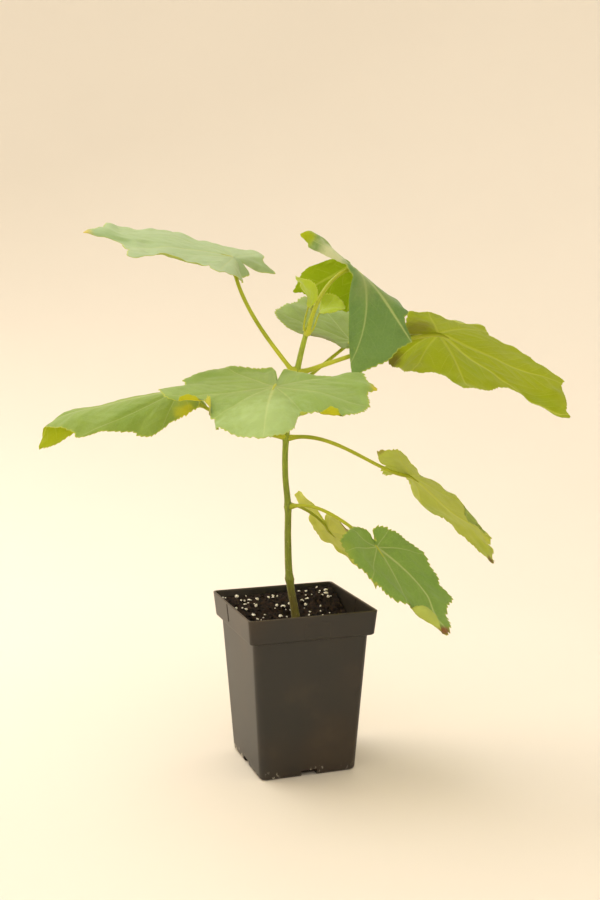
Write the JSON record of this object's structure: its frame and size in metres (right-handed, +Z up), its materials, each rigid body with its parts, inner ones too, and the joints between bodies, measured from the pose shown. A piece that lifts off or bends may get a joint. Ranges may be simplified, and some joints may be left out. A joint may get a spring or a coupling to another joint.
{
  "type": "potted young paulownia tree",
  "caption": "Young paulownia sapling with large lobed heart-shaped leaves on long stalks, rooted in the soil of a tapered square dark plastic nursery pot with a rim band.",
  "frame": {"origin": "middle of the pot's flat underside", "axes": "+Z up along the pot's upright axis; +X and +Y level, square to the pot's sides, with -Y towards the side that the picture shows most squarely"},
  "size_m": [0.3877, 0.2187, 0.4189],
  "materials": {
    "pot": "charcoal plastic with a soft sheen",
    "soil": "loose dark potting mix with pale grains",
    "stem": "smooth green young stem, brown at the foot",
    "petiole": "downy yellow-green leaf stalk",
    "leaf": "soft matte green leaf with raised veins",
    "young": "soft bright yellow-green new growth"
  },
  "bodies": {
    "root": {"pot": "pot", "soil": "soil", "stem": "stem", "bud": "young", "petiole_low_back": "petiole", "leaf_low_back": "leaf", "petiole_low_front": "petiole", "leaf_low_front": "leaf", "petiole_middle_right": "petiole", "leaf_middle_right": "leaf", "petiole_middle_left": "petiole", "leaf_middle_left": "leaf", "petiole_front": "petiole", "leaf_front": "leaf", "petiole_back": "petiole", "leaf_back": "leaf", "petiole_upper_right": "petiole", "leaf_upper_right": "leaf", "petiole_upper_left": "petiole", "leaf_upper_left": "leaf", "petiole_crown": "petiole", "leaf_crown": "leaf", "petiole_young_left": "petiole", "leaf_young_left": "young", "petiole_young_right": "petiole", "leaf_young_right": "young"}
  },
  "joints": []
}
